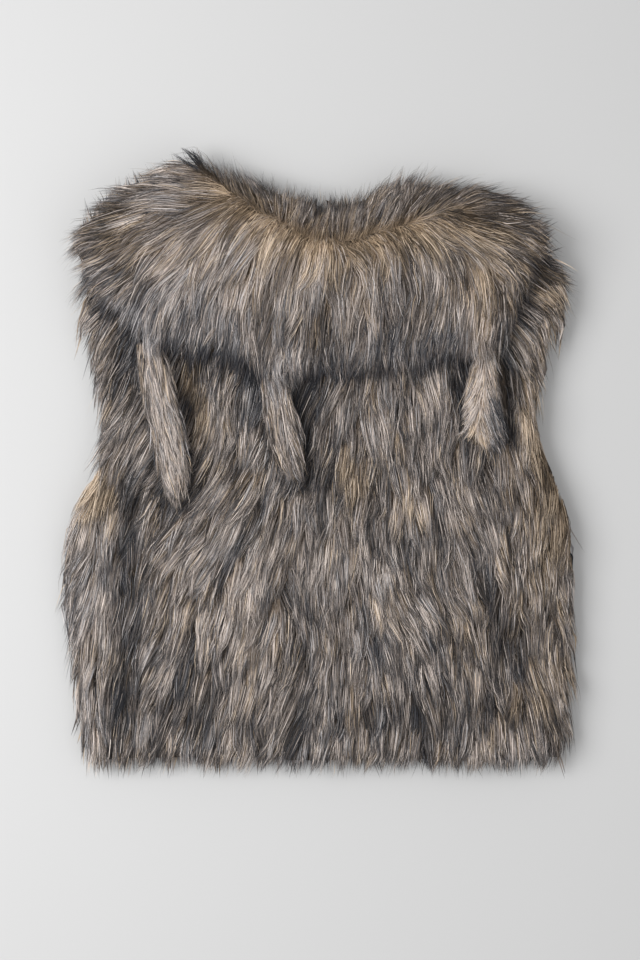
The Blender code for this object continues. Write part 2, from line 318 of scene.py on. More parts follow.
shades = makeHairShades()
bodyHair = makeHairMaterial("bodyHair", shades, 0.62, 0.34, 0.60)
collarHair = makeHairMaterial("collarHair", shades, 0.80, 0.42, 0.66)
tailHair = makeHairMaterial("tailHair", shades, 0.30, 0.20, 0.84)
underfur = makeBackingMaterial("underfur", (0.030, 0.024, 0.020), (0.110, 0.082, 0.060))
collarUnderfur = makeBackingMaterial("collarUnderfur", (0.060, 0.042, 0.028), (0.200, 0.145, 0.096))
print("materials made")


# The backing of each piece: a thin shell inside its solid, with the depth of the pile left free around it

backing = {
    "inset": 9.0,  # from the rim of the solid
    "insetDepth": 60.0,  # how far in from the rim the backing is drawn inwards
    "thinnest": 0.8,
    "bare": 1.0,  # free depth where no hair grows
    "underBackPile": 12.0,
    "underCollarPile": 8.6,
    "underTailPile": 4.6,
    "overFrontPile": 4.6,
}


def evenDepth(depth):
    return lambda x, y: np.full(np.shape(x), depth)


bare = evenDepth(backing["bare"])


def makeBacking(name, node, material, overPile, underPile):
    # A copy of the solid, squeezed between the depth of pile over it and under it
    source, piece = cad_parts[node].data, pieces[node]
    mesh = source.copy()
    mesh.name = name
    mesh.materials.clear()
    mesh.materials.append(material)
    spots = np.empty(len(mesh.vertices) * 3)
    mesh.vertices.foreach_get("co", spots)
    x, y, z = spots.reshape(-1, 3).T / mm
    under, top = readAt(piece, "under", x, y), readAt(piece, "top", x, y)
    low = under + underPile(x, y)
    high = np.maximum(top - overPile(x, y), low + backing["thinnest"])
    newZ = low + (high - low) * np.clip((z - under) / np.maximum(top - under, 0.5), 0, 1)
    inset = backing["inset"] * smooth(1.0 + readAt(piece, "reach", x, y) / backing["insetDepth"])
    newX = x - readAt(piece, "outX", x, y) * inset
    newY = y - readAt(piece, "outY", x, y) * inset
    mesh.vertices.foreach_set("co", (np.stack((newX, newY, newZ), axis=1) * mm).ravel())
    mesh.update()
    mesh.shade_smooth()
    shell = bpy.data.objects.new(name, mesh)
    bpy.context.scene.collection.objects.link(shell)
    return shell


# The hair

hairPlaces = (0.0, 0.34, 0.70, 1.0)  # the places along a hair that every profile below speaks of
hairTaper = (0.75, 1.0, 0.66, 0.0)  # its width there
farthest = {"side": 12.0, "bottom": 11.0, "top": 15.0}  # mm that a tip may stand out of the CAD model's box
noiseCells = 400  # each way, before the pattern comes again
noiseFrom = 700.0  # mm from the middle of the vest to where the pattern starts
guideBlur = 18.0  # mm round a guide where its direction hardly changes
guideFalloff = 1.6
wildest = 1.9  # times the usual spread of a draw
vary = {
    # how the hairs of one pile differ, as shares of the values of its comb unless a note says otherwise
    "place": 0.6,  # of the distance from hair to hair
    "length": (0.84, 1.10),
    "guardLength": 1.14,
    "wispTurn": 0.5,
    "wideSway": 42.0,  # mm across a wave of the comb field
    "smallSway": 18.0,  # mm
    "smallSwayShare": 0.6,
    "smallSwayStretch": 1.6,
    "strayBend": 0.4,
    "strayWidth": 0.65,
    "strayPast": (3, 13),  # mm
    "wispPower": 1.1,
    "lockPower": 1.4,
    "lockPull": (0.6, 1.2),
    "depth": 0.7,  # mm
    "lockHue": 0.25,
    "wispHue": 0.25,
    "ownHue": 0.24,
    "valleyPaintedShadeHue": 0.3,
    "tanFrom": 0.42,  # hues below slateTo are slate and above this are tan
    "slateTo": -0.30,
    "tipEnd": (0.76, 1.08),
    "tipEndMost": 1.02,
    "paleTipEnd": 0.62,
    "flankFrom": 0.6,  # of the distance from lock to lock
    "flankMost": 1.25,
    "wispFlank": 0.5,
    "heaveAcross": 26.0,  # mm
}
heights = {
    "deepestShare": 0.9,  # of the thickness of the piece
    "deepestPast": 1.0,  # mm more than that
    "shallowest": 0.3,  # mm over the underside
    "overFloor": 0.35,  # mm
}
setsIn = {
    # how much of a change of depth there is at the four places along a hair
    "lift": (0.2, 1, 1, 0.7),
    "dome": (0.2, 0.8, 1, 0.5),
    "wisp": (0, 0.8, 1, 0.8),
    "hollow": (0, 0.7, 1, 0.8),
    "own": (0, 1, 1.2, 1.3),
    "guard": (0, 1, 1, 0.6),
}


def profile(values, stops):
    return np.interp(stops, hairPlaces, values)[:, None]


def softNoise(x, y, size, rng, stretch=1.0):
    # Smooth patches from -1 to 1, of the given size across and stretched along the vest
    values = rng.uniform(-1, 1, (noiseCells, noiseCells))
    col, row = (x + noiseFrom) / size, (y + noiseFrom) / (size * stretch)
    c, r = np.floor(col).astype(int), np.floor(row).astype(int)
    u, v = smooth(col - c), smooth(row - r)
    c, r = c % (noiseCells - 1), r % (noiseCells - 1)
    lower = values[r, c] * (1 - u) + values[r, c + 1] * u
    upper = values[r + 1, c] * (1 - u) + values[r + 1, c + 1] * u
    return lower * (1 - v) + upper * v


def combField(piece, guides):
    # Direction of the hair all over a piece from a few places where it is known. Lean is from straight down.
    x, y = np.meshgrid(gridX, gridY)
    east, north = np.zeros_like(x), np.zeros_like(x)
    for guideX, guideY, lean in guides:
        weight = 1.0 / ((x - guideX) ** 2 + (y - guideY) ** 2 + guideBlur ** 2) ** guideFalloff
        east += weight * math.sin(math.radians(lean))
        north -= weight * math.cos(math.radians(lean))
    size = np.hypot(east, north) + 1e-12
    piece["east"], piece["north"] = east / size, north / size


def walk(piece, x, y, turn, length, stops, bend=0.0):
    # Follows the combed direction from the root, one stop after another. A bend turns it steadily on its way.
    pathX, pathY = [x], [y]
    for start, end in zip(stops[:-1], stops[1:]):
        here = turn + 1.5 * bend * (start + end - 1)
        east, north = readAt(piece, "east", x, y), readAt(piece, "north", x, y)
        x = x + (east * np.cos(here) - north * np.sin(here)) * length * (end - start)
        y = y + (east * np.sin(here) + north * np.cos(here)) * length * (end - start)
        pathX.append(x)
        pathY.append(y)
    return np.array(pathX), np.array(pathY)


def nearestLock(x, y, spacing, rng):
    # The nearest point of a jittered lattice, with a number for each
    x0, y0 = x.min() - 2 * spacing, y.min() - 2 * spacing
    cols, rows = int((x.max() - x0) / spacing) + 4, int((y.max() - y0) / spacing) + 4
    shiftX, shiftY = rng.uniform(0, 1, (rows, cols)), rng.uniform(0, 1, (rows, cols))
    col, row = ((x - x0) / spacing).astype(int), ((y - y0) / spacing).astype(int)
    best = np.full(len(x), 1e9)
    lockX, lockY, number = np.zeros(len(x)), np.zeros(len(x)), np.zeros(len(x), int)
    for down in (-1, 0, 1):
        for across in (-1, 0, 1):
            r, c = row + down, col + across
            spotX, spotY = x0 + (c + shiftX[r, c]) * spacing, y0 + (r + shiftY[r, c]) * spacing
            away = np.hypot(x - spotX, y - spotY)
            closer = away < best
            best[closer] = away[closer]
            lockX[closer], lockY[closer] = spotX[closer], spotY[closer]
            number[closer] = (r * cols + c)[closer]
    return lockX, lockY, number, rows * cols


def agreement(piece, x, y, otherX, otherY):
    # 1 where two places are combed the same way, 0 from about 60 degrees apart
    same = readAt(piece, "east", x, y) * readAt(piece, "east", otherX, otherY)
    same += readAt(piece, "north", x, y) * readAt(piece, "north", otherX, otherY)
    return smooth((same - 0.5) / 0.4)


def spread(rng, size, count):
    # Draws around 0 without the rare wild ones
    return size * np.clip(rng.normal(0, 1, count), -wildest, wildest)


def flankOf(x, y, middleX, middleY, size):
    # 0 in the middle of a lock or a wisp, and more towards its sides
    across = np.hypot(x - middleX, y - middleY) / (size * vary["flankFrom"])
    return np.clip(across, 0, vary["flankMost"]) ** 2


def growHair(piece, comb, seed):
    # Paths, widths and tints of a piece's hair, in mm
    rng = np.random.default_rng(seed)
    stops = np.array(comb["stops"])
    pace = 10.0 / math.sqrt(comb["perSquareCm"])
    x, y = np.meshgrid(np.arange(gridX[0], gridX[-1], pace), np.arange(gridY[0], gridY[-1], pace))
    x = x.ravel() + rng.uniform(-vary["place"], vary["place"], x.size) * pace
    y = y.ravel() + rng.uniform(-vary["place"], vary["place"], y.size) * pace
    rooted = (readAt(piece, "reach", x, y) < -1.0) & (readAt(piece, "edge", x, y) < -comb["rootInset"])
    rooted &= comb["rootsWhere"](x, y)
    x, y = x[rooted], y[rooted]
    lockX, lockY, lock, lockCount = nearestLock(x, y, comb["lockSize"], rng)
    wispX, wispY, wisp, wispCount = nearestLock(x, y, comb["wispSize"], rng)
    lockTurn = np.radians(spread(rng, comb["lockTurn"], lockCount))[lock]
    wispTurn = np.radians(spread(rng, comb["lockTurn"] * vary["wispTurn"], wispCount))[wisp]
    lockBend = np.radians(spread(rng, comb["lockBend"], lockCount))[lock]
    waves, tones = np.random.default_rng(seed + 100), np.random.default_rng(seed + 200)
    wideSway = softNoise(x, y, vary["wideSway"], waves)
    smallSway = softNoise(x, y, vary["smallSway"], waves, vary["smallSwayStretch"])
    sway = np.radians(comb["sway"]) * (wideSway + vary["smallSwayShare"] * smallSway)
    guard = rng.uniform(0, 1, len(x)) < comb["guardShare"]  # the longer hairs that lie on top
    length = rng.uniform(*comb["length"], lockCount)[lock] * rng.uniform(*vary["length"], len(x))
    length *= np.where(guard, vary["guardLength"], 1.0) * comb["lengthAt"](x, y)
    ownTurn = lockTurn + wispTurn + sway + np.radians(spread(rng, comb["ownTurn"], len(x)))
    stray = rng.uniform(0, 1, len(x)) < comb["strays"]
    bend = lockBend + np.radians(spread(rng, comb["bend"], len(x)))
    bend = bend * np.where(stray, vary["strayBend"], 1.0)
    # A hair whose tip would pass the outline is shorter, or isn't there if it would be a stub
    tipX, tipY = walk(piece, x, y, ownTurn, length, stops, bend)
    rootReach, tipReach = readAt(piece, "edge", x, y), readAt(piece, "edge", tipX[-1], tipY[-1])
    limit = rng.normal(comb["past"], comb["uneven"], len(x))
    limit = limit + np.where(stray, rng.uniform(*vary["strayPast"], len(x)), 0)
    limit += rng.normal(0, comb["lockUneven"], lockCount)[lock]
    keep = np.clip((limit - rootReach) / np.maximum(tipReach - rootReach, 1e-3), 0.0, 1.0)
    keep = np.where(tipReach > limit, keep, 1.0)
    kept = keep > comb["stub"]
    columns = (x, y, length * keep, keep, ownTurn, bend, lockBend, lock, wisp, guard, stray, lockX, lockY,
               wispX, wispY, lockTurn, wispTurn, sway)
    (x, y, length, keep, ownTurn, bend, lockBend, lock, wisp, guard, stray, lockX, lockY,
     wispX, wispY, lockTurn, wispTurn, sway) = (column[kept] for column in columns)
    count = len(x)
    pathX, pathY = walk(piece, x, y, ownTurn, length, stops, bend)
    wispPathX, wispPathY = walk(piece, wispX, wispY, lockTurn + wispTurn + sway, length, stops, lockBend)
    lockPathX, lockPathY = walk(piece, lockX, lockY, lockTurn + sway, length, stops, lockBend)
    # Hair is drawn into its wisp and its lock, unless they are combed another way, as across a parting
    wispPull = (comb["wispGather"] * stops ** vary["wispPower"])[:, None]
    wispPull = wispPull * agreement(piece, x, y, wispX, wispY)
    pathX += (wispPathX - pathX) * wispPull
    pathY += (wispPathY - pathY) * wispPull
    lockPull = (comb["lockGather"] * stops ** vary["lockPower"])[:, None]
    lockPull = lockPull * rng.uniform(*vary["lockPull"], count) * agreement(piece, x, y, lockX, lockY)
    pathX += (lockPathX - pathX) * lockPull
    pathY += (lockPathY - pathY) * lockPull
    # No hair stands far out of the CAD model's box
    for paths, low, high in (
        (pathX, cadBox[0].x / mm - farthest["side"], cadBox[1].x / mm + farthest["side"]),
        (pathY, cadBox[0].y / mm - farthest["bottom"], cadBox[1].y / mm + farthest["top"]),
    ):
        root, tip = paths[0], paths[-1]
        room = np.where(tip > root, high - root, root - low)
        share = np.minimum(1.0, room / np.maximum(np.abs(tip - root), 1e-3))
        pathX, pathY = pathX[0] + (pathX - pathX[0]) * share, pathY[0] + (pathY - pathY[0]) * share
    # Heights: out of the backing, up through the pile, then lying along its surface.
    # A lock is high in its middle.
    lockLift = rng.uniform(-comb["lift"], comb["lift"], lockCount)[lock]
    wispLift = rng.uniform(-comb["wispLift"], comb["wispLift"], wispCount)[wisp]
    flank = flankOf(x, y, lockX, lockY, comb["lockSize"])
    wispFlank = vary["wispFlank"] * flankOf(x, y, wispX, wispY, comb["wispSize"])
    middleX, middleY = pathX[2], pathY[2]  # where most of the hair shows
    valley = comb["valley"](middleX, middleY)
    depth = profile(comb["depths"], stops) + lockLift * profile(setsIn["lift"], stops)
    depth = depth + comb["dome"] * flank * profile(setsIn["dome"], stops)
    depth = depth + (wispLift + wispFlank) * profile(setsIn["wisp"], stops)
    depth = depth + comb["hollow"] * valley * profile(setsIn["hollow"], stops)
    depth = depth + rng.normal(0, vary["depth"], count) * profile(setsIn["own"], stops)
    depth = depth - np.where(guard, comb["guardLift"], 0.0) * profile(setsIn["guard"], stops)
    depth = depth + comb["heave"] * softNoise(pathX, pathY, vary["heaveAcross"], rng)
    depth[:2] *= comb["rootDepth"](pathX[0], pathY[0])
    # Roots beside a parting stand among those of its other side
    back = comb["rootBack"](pathX[0], pathY[0]) * rng.uniform(0, 1, count)
    run = np.hypot(pathX[1] - pathX[0], pathY[1] - pathY[0]) + 1e-6
    for steps in (pathX, pathY):
        steps[0] = steps[0] - (steps[1] - steps[0]) / run * back
    width = rng.uniform(*comb["width"], count) * comb["widthAt"](x, y)
    width = width * np.where(stray, vary["strayWidth"], 1.0)
    roll = np.radians(rng.normal(0, comb["roll"], count))
    if comb["side"] == "top":
        thick = readAt(piece, "top", pathX, pathY) - readAt(piece, "under", pathX, pathY)
        deepest = thick * heights["deepestShare"] + heights["deepestPast"]
        pathZ = readAt(piece, "drape", pathX, pathY) - np.minimum(depth, deepest)
    else:
        pathZ = readAt(piece, "under", pathX, pathY) + np.maximum(depth, heights["shallowest"])
    pathZ = np.maximum(pathZ, heights["overFloor"] + 0.5 * width * np.abs(np.sin(roll)))
    tint = comb["tint"](middleX, middleY, tones)
    # Painted shade: hair on the flanks of a lock or a wisp is darker, where shadow falls between locks
    tint += comb["lockTint"] * rng.uniform(-1, 1, lockCount)[lock] - comb["flankPaintedShade"] * flank
    tint += comb["wispTint"] * (rng.uniform(-1, 1, wispCount)[wisp] - wispFlank)
    # Painted shade: hair in the valleys, under the collar's hem and beside the tails is darker
    tint += comb["ownTint"] * rng.normal(0, 1, count) - comb["hollowPaintedShade"] * valley
    hue = comb["hue"](middleX, middleY, tones) + vary["lockHue"] * rng.uniform(-1, 1, lockCount)[lock]
    # In the valleys the hue also turns towards slate, as painted shade
    hue += (vary["wispHue"] * rng.uniform(-1, 1, wispCount)[wisp] + rng.normal(0, vary["ownHue"], count)
            - vary["valleyPaintedShadeHue"] * valley)
    family = np.digitize(hue, (vary["slateTo"], vary["tanFrom"]))
    # Some hairs have no dark tip
    tipEnd = np.minimum(rng.uniform(*vary["tipEnd"], count), vary["tipEndMost"])
    tipEnd = np.where(keep < 1, np.maximum(tipEnd, comb["hemTip"]), tipEnd)
    tipEnd += (vary["paleTipEnd"] - tipEnd) * comb["paleTips"](middleX, middleY)
    return {
        "path": np.stack((pathX, pathY, pathZ), axis=2),
        "width": width,
        "roll": roll,
        "tipEnd": tipEnd,
        "tint": (family + tintMargin + (1 - 2 * tintMargin) * np.clip(tint, 0, 1)) / len(hairFamilies),
    }


trianglesApiece = 190000  # most in one object
tintAcross = 0.002  # from the middle of a hair to its edge, so that no face of its map is flat


def hairMesh(name, hair, stops, material):
    # Each hair is a flat tapered ribbon of quads that ends in a triangle
    path = hair["path"] * mm
    count, quads = path.shape[1], len(stops) - 2
    run = path[-1] - path[0]
    run /= np.linalg.norm(run, axis=1)[:, None] + 1e-12
    side = np.cross(run, (0.0, 0.0, 1.0))
    side /= np.linalg.norm(side, axis=1)[:, None] + 1e-12
    upright = np.cross(side, run)
    roll = hair["roll"][:, None]
    side = side * np.cos(roll) + upright * np.sin(roll)
    half = (hair["width"] * mm / 2)[:, None] * side
    corners = []
    for stop, taper in enumerate(np.interp(stops[:-1], hairPlaces, hairTaper)):
        corners += [path[stop] - half * taper, path[stop] + half * taper]
    corners.append(path[-1])
    spots = np.stack(corners, axis=1).reshape(-1, 3)
    pattern = np.array([2 * quad + corner for quad in range(quads) for corner in (0, 1, 3, 2)]
                       + [2 * quads, 2 * quads + 1, 2 * quads + 2])
    loops = (np.arange(count)[:, None] * len(corners) + pattern).ravel()
    starts = (np.arange(count)[:, None] * len(pattern) + 4 * np.arange(quads + 1)).ravel()
    sizes = np.tile([4] * quads + [3], count)
    mesh = bpy.data.meshes.new(name)
    mesh.vertices.add(len(spots))
    mesh.vertices.foreach_set("co", spots.ravel())
    mesh.loops.add(len(loops))
    mesh.loops.foreach_set("vertex_index", loops)
    mesh.polygons.add(len(starts))
    mesh.polygons.foreach_set("loop_start", starts)
    mesh.polygons.foreach_set("loop_total", sizes)
    along = np.append(np.repeat(stops[:-1], 2), 1.0)
    edge = np.append(np.tile((-tintAcross, tintAcross), len(stops) - 1), 0.0)
    tint = (hair["tint"][:, None] + edge)[:, pattern].ravel()
    places = np.stack((tint, (hair["tipEnd"][:, None] * along)[:, pattern].ravel()), axis=1)
    uv = mesh.uv_layers.new(name="OFBake")
    uv.data.foreach_set("uv", places.ravel())
    mesh.update(calc_edges=True)
    mesh.shade_smooth()
    mesh.materials.append(material)
    item = bpy.data.objects.new(name, mesh)
    bpy.context.scene.collection.objects.link(item)
    return item


def makePile(name, node, comb, guides, material, seed, prepare=None):
    # Grows the hair of a piece, as one object or as a few side by side
    piece = pieces[node]
    combField(piece, guides)
    drape(piece, comb["droop"])
    piece["edge"] = piece["reach"]
    if prepare:
        prepare(piece)
    hair = growHair(piece, comb, seed)
    count, stops = len(hair["tint"]), np.array(comb["stops"])
    parts = math.ceil(count * (2 * len(stops) - 3) / trianglesApiece)
    order = np.argsort(hair["path"][0, :, 0], kind="stable")
    made = []
    for part, chosen in enumerate(np.array_split(order, parts), 1):
        label = name if parts == 1 else f"{name}{part}"
        share = {key: values[:, chosen] if key == "path" else values[chosen] for key, values in hair.items()}
        item = hairMesh(label, share, stops, material)
        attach(item, "root")
        made.append(item)
    print(name, count, "hairs")
    return made


def dress(node, backingName, material, overPile=bare, underPile=bare):
    # Puts a backing in place of a cloth piece, and hides the piece
    shell = makeBacking(backingName, node, material, overPile, underPile)
    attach(shell, "root")
    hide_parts(node)


def everywhere(x, y):
    return np.ones(len(x), bool)


def evenly(x, y):
    return np.ones(np.shape(x))


def never(x, y):
    return np.zeros(np.shape(x))


def near(x, y, spotX, spotY, size):
    return np.exp(-((x - spotX) ** 2 + (y - spotY) ** 2) / (2 * size ** 2))


def nearLine(x, y, line, size):
    # 1 on a line from one point to another, falling to 0 beside it
    fromX, fromY, toX, toY = line
    runX, runY = toX - fromX, toY - fromY
    along = np.clip(((x - fromX) * runX + (y - fromY) * runY) / (runX ** 2 + runY ** 2), 0, 1)
    return near(x, y, fromX + along * runX, fromY + along * runY, size)


def alongLines(x, y, lines):
    # Sums the changes given for lines, each as its two ends, the width that it fades over, and the change
    return sum(change * nearLine(x, y, ends, size) for *ends, size, change in lines)


def rollY(x):
    # Height in plan of the line where the collar rolls into the neck
    inside = pieces["collar_back"]["reach"] < 0
    highest = np.array([gridY[column].max() if column.any() else np.nan for column in inside.T])
    known = ~np.isnan(highest)
    return np.interp(x, gridX[known], highest[known])


# Back panel

backGuides = (
    # x, y, lean
    (-230, 190, -46), (-235, 120, -36), (-225, 60, -20), (-240, 0, -26), (-245, -80, -15), (-245, -180, -11),
    (-240, -270, -7), (-195, 90, -26), (-190, 20, -26), (-205, -60, 2), (-200, -112, -5), (-240, -34, -34),
    (-160, -60, -33), (-120, -20, -29), (-110, -110, -23), (-150, -170, -21), (-60, -60, -14),
    (-60, -150, -10), (-120, -230, -15), (-60, -260, -15), (-90, 60, -12), (0, 60, -12), (0, -20, -8),
    (0, -120, 1), (0, -260, -12), (60, 40, -2), (60, 5, -8), (60, -80, -2), (100, -30, -2), (100, -60, 6),
    (120, -130, 22), (100, -200, 8), (150, -60, 18), (160, -230, 10), (200, -150, -3), (200, -75, -2),
    (200, -35, -1), (130, 60, 0), (190, 60, 8), (205, 110, 15), (225, 205, 66), (243, 190, 50),
    (246, 160, 36), (236, 132, 38), (215, 20, 16), (245, -40, 8), (250, -150, 6), (248, -258, 17),
    (238, -288, 5), (110, -275, 0), (80, -275, -8), (40, -215, -9), (82, -113, 26), (165, -150, 4),
    (-80, -235, -26), (40, -275, 2),
)
backValleys = (
    # partings and hollows, where the fur lies deeper and is darkened with painted shade: from x, y to x, y,
    # how wide, how deep
    (-187, -28, -194, -93, 7, 1), (-194, -93, -189, -173, 7, 1), (-189, -173, -199, -273, 7, 0.8),
    (192, 137, 177, 72, 6, 0.8), (177, 72, 190, 12, 6, 0.8), (-196, 132, -203, 62, 7, 0.9),
    (158, -88, 182, -185, 6, 0.9), (182, -185, 172, -255, 7, 0.8), (-50, -28, -104, -122, 5, 0.7),
    (40, -120, 62, -205, 5, 0.7), (-128, -196, -150, -250, 6, 0.7), (-22, -232, -28, -300, 7, 0.9),
    (98, -238, 104, -300, 6, 0.7), (-166, -246, -160, -300, 6, 0.7), (-212, 150, -190, 138, 9, 1),
    (-150, 122, -110, 106, 9, 1), (-128, 100, -118, 30, 8, 0.2), (-8, 96, -14, 4, 8, 0.7),
    (16, 20, 8, -30, 5, 0.7), (138, 122, 140, 66, 9, 1), (188, 128, 192, 24, 6, 0.8),
    (210, 205, 236, 222, 7, 0.9), (60, -20, 52, -60, 5, 0.8), (-92, 8, -82, -30, 9, 0.5),
    (-124, -268, -96, -216, 9, 0.5), (200, -184, 203, -250, 7, 0.5), (130, -182, 134, -240, 8, 0.4),
    (164, -18, 167, -58, 8, 0.5), (-18, -138, -12, -172, 8, 0.5), (-235, -262, 235, -262, 12, 0.25),
)
backCrests = (
    # locks that lie paler or darker, and one row of painted shadow: from x, y to x, y, how wide, how much
    # paler
    (-126, -120, -122, -200, 20, 0.12), (-66, -115, -72, -165, 16, 0.22), (56, -120, 58, -200, 14, 0.19),
    (18, -62, 24, -100, 12, 0.20), (-234, 70, -231, -176, 10, 0.10), (202, 50, 204, 0, 10, 0.20),
    (238, 200, 222, 96, 14, -0.12), (-92, 36, -84, 14, 12, 0.12), (-14, -40, 26, -46, 13, -0.14),
    (160, -74, 168, -96, 10, 0.12), (236, 2, 240, -22, 11, -0.55), (238, -80, 236, -168, 11, -0.18),
    (-194, -210, -198, -240, 13, -0.14), (-200, 20, -192, -18, 13, -0.13), (90, -8, 132, -12, 13, -0.18),
    (88, -40, 96, -56, 11, 0.24), (-92, -70, -86, -94, 12, 0.20), (196, -78, 204, -122, 13, -0.21),
    (-162, -108, -158, -128, 12, -0.32), (-162, -180, -198, -150, 12, -0.14),
    (-128, -246, -120, -276, 13, -0.24), (-86, -8, -50, -10, 12, -0.10), (201, 112, 200, 60, 11, 0.18),
    (126, 74, 130, 52, 13, 0.13), (54, -74, 58, -92, 12, -0.18), (-234, -250, -230, -274, 12, 0.16),
    # From (-146, 106) to (-64, 84): painted shadow under the collar's hem, between the left and middle tails
    (-126, -76, -160, -46, 12, -0.11), (-146, 106, -64, 84, 7, -0.24), (-124, 82, -120, 44, 8, -0.10),
    (-124, 36, -126, -16, 10, -0.12), (-54, -74, -50, -124, 11, -0.15), (-50, 78, -52, 50, 9, 0.18),
    (130, -74, 90, -158, 11, -0.11), (50, -254, 132, -262, 12, -0.09),
)
backTan = (
    # warm places along the sides and in the deep of the fur
    (-230, -38, -226, -42, 16, 1.1), (250, -44, 250, -48, 18, 1.0), (-236, 120, -228, -30, 10, 0.3),
    (238, 180, 224, 20, 14, 0.6), (224, 20, 236, -80, 12, 0.5), (20, -12, 44, -24, 10, 0.8),
    (200, -60, 188, -230, 40, 0.28), (200, 66, 200, -14, 12, 0.4), (-71, 80, -71, 45, 9, -0.6),
    (-128, 92, -120, 36, 9, 1.0), (84, -36, 96, -56, 9, 0.6), (-110, 0, -84, -20, 10, 0.5),
)


hollows = {
    # how the fur opens beside what lies on the back, and is darkened there with painted shade
    "besideCollar": 12, "besideTail": 8, "tailDepth": 0.9, "deepest": 1.1,
}


def backValley(x, y):
    # 1 in the deep of the partings and beside the collar and the tails, 0 on open fur. There the fur lies
    # deeper and is darkened with painted shade, in place of the shadow of the collar's hem and of the tails.
    depth = alongLines(x, y, backValleys)
    pastCollar = np.maximum(readAt(pieces["collar_back"], "reach", x, y), 0)
    depth = depth + np.exp(-(pastCollar / hollows["besideCollar"]) ** 2)
    for tail in ("tail_left", "tail_middle", "tail_right"):
        pastTail = readAt(pieces[tail], "reach", x, y)
        depth = depth + hollows["tailDepth"] * np.exp(-(pastTail / hollows["besideTail"]) ** 2)
    return np.clip(depth, 0, hollows["deepest"])


def trimBack(piece):
    # The fur thins out at the armholes and along the hem, and hangs over the hem's right corner
    x, y = np.meshgrid(gridX, gridY)
    piece["edge"] = (piece["reach"] + 4 * near(x, y, -232, 45, 26) + 3 * near(x, y, 236, 50, 26)
                     + 2 * smooth((-275 - y) / 20) - 8 * near(x, y, 237, -294, 8))


backComb = {
    "side": "top",
    "perSquareCm": 54,
    "length": (40, 56),
    "lengthAt": evenly,
    "width": (0.28, 0.74),
    "widthAt": evenly,
    "stops": (0.0, 0.34, 0.70, 1.0),
    "depths": (12.5, 6.2, 1.7, 2.5),
    "rootBack": never,
    "hollow": 4.4,
    "hollowPaintedShade": 0.50,
    "paleTips": never,
    "hemTip": 0.74,
    "lift": 2.4,
    "dome": 2.8,
    "wispLift": 1.3,
    "strays": 0.09,
    "lockUneven": 2.2,
    "guardShare": 0.25,
    "guardLift": 1.4,
    "heave": 1.8,
    "rootDepth": evenly,
    "lockSize": 14.0,
    "wispSize": 4.4,
    "lockTurn": 6.5,
    "ownTurn": 4.0,
    "lockBend": 11.0,
    "bend": 8.0,
    "sway": 11.0,
    "lockGather": 0.55,
    "wispGather": 0.75,
    "rootInset": 5.0,
    "stub": 0.5,
    "past": -2.0,
    "uneven": 4.6,
    "droop": 0.35,
    "roll": 34.0,
    "lockTint": 0.14,
    "flankPaintedShade": 0.14,
    "wispTint": 0.28,
    "ownTint": 0.33,
    "tint": lambda x, y, rng: (
        0.750 + 0.06 * softNoise(x, y, 60.0, rng) + 0.14 * softNoise(x, y, 16.0, rng, 2.8)
        + alongLines(x, y, backCrests)
    ),
    "hue": lambda x, y, rng: 0.15 * softNoise(x, y, 50.0, rng) + alongLines(x, y, backTan),
    "valley": backValley,
    "rootsWhere": lambda x, y: readAt(pieces["collar_back"], "reach", x, y) > -42.0,
}
backPile = makePile("backPile", "back", backComb, backGuides, bodyHair, 11, trimBack)
dress("back", "backBacking",
      underfur, overPile=evenDepth(backing["underBackPile"]))


# Collar

collarGuides = (
    (-128, 290, -100), (-165, 275, -88), (-200, 262, -82), (-195, 282, -96), (-230, 235, -72),
    (-240, 248, -92), (-235, 205, -56), (-215, 180, -54), (-160, 240, -68), (-150, 205, -42),
    (-150, 150, -24), (-185, 150, -42), (-108, 272, -72), (-110, 225, -24), (-82, 262, -62), (-60, 246, -46),
    (-30, 234, -28), (-100, 150, -10), (-60, 220, -10), (-60, 130, 0), (-178, 150, -10), (-173, 130, 8),
    (-168, 108, 9), (-50, 110, 4), (-42, 80, 14), (-20, 170, -16), (0, 215, -14), (15, 130, -8),
    (40, 170, -9), (35, 222, 30), (62, 230, 40), (92, 233, 40), (114, 240, 62), (60, 200, 6), (60, 130, -6),
    (80, 170, -4), (120, 172, -8), (105, 212, 14), (105, 150, -6), (134, 242, 76), (156, 244, 94),
    (172, 246, 96), (200, 250, 84), (140, 222, 46), (150, 200, 17), (160, 140, -3), (185, 245, 78),
    (172, 262, 92), (205, 215, 52), (190, 170, 12), (225, 228, 70), (172, 125, -10),
)
# Past this line the hair is combed up, out of the neck
partingX = (-121, -76, -41, -15, 16, 56, 87, 114, 130, 155)
partingY = (299, 269, 247, 234, 228, 239, 243, 249, 249, 250)
parting = {"inside": 4.0, "from": -121.0, "to": 152.0, "length": 0.74, "tan": 30.0, "ragged": 4.0}
upGuides = (
    (-128, 298, -152), (-108, 286, -158), (-78, 268, -144), (-55, 252, -140), (-88, 288, -176),
    (-36, 246, 168), (-20, 248, 164), (-30, 265, 176), (15, 238, 176), (30, 262, 176), (60, 242, 156),
    (62, 262, 172), (88, 250, 144), (85, 268, 160), (108, 256, 122), (108, 276, 148), (130, 258, 100),
    (134, 276, 128), (152, 262, 96),
)
tuftTip, tuftRoot = (-132, 314), (-112, 290)
tuftGuides = ((-112, 290, -138), (-130, 312, -142), (-100, 300, -144))
tailTops = ((-166, 108), (-42, 78), (166, 106))
overhang = {
    # how far hair goes past the collar's outline at its tuft and over the tops of the tails
    "tuft": 28, "tuftSize": 9, "tails": 27, "tailsSize": 13, "tailsLift": 3.6, "tailsLiftSize": 16,
}


def belowParting(x, y):
    return np.minimum(np.interp(x, partingX, partingY), rollY(x) - parting["inside"]) - y


def combedUp(x, y):
    return (belowParting(x, y) < 0) & (x > parting["from"]) & (x < parting["to"])


def neckFade(x, y):
    # The fur fades out sooner along the neck, and most in its middle
    return (3 + 4 * np.exp(-((x - 2) / 50) ** 2)) * smooth((y - 200) / 20)


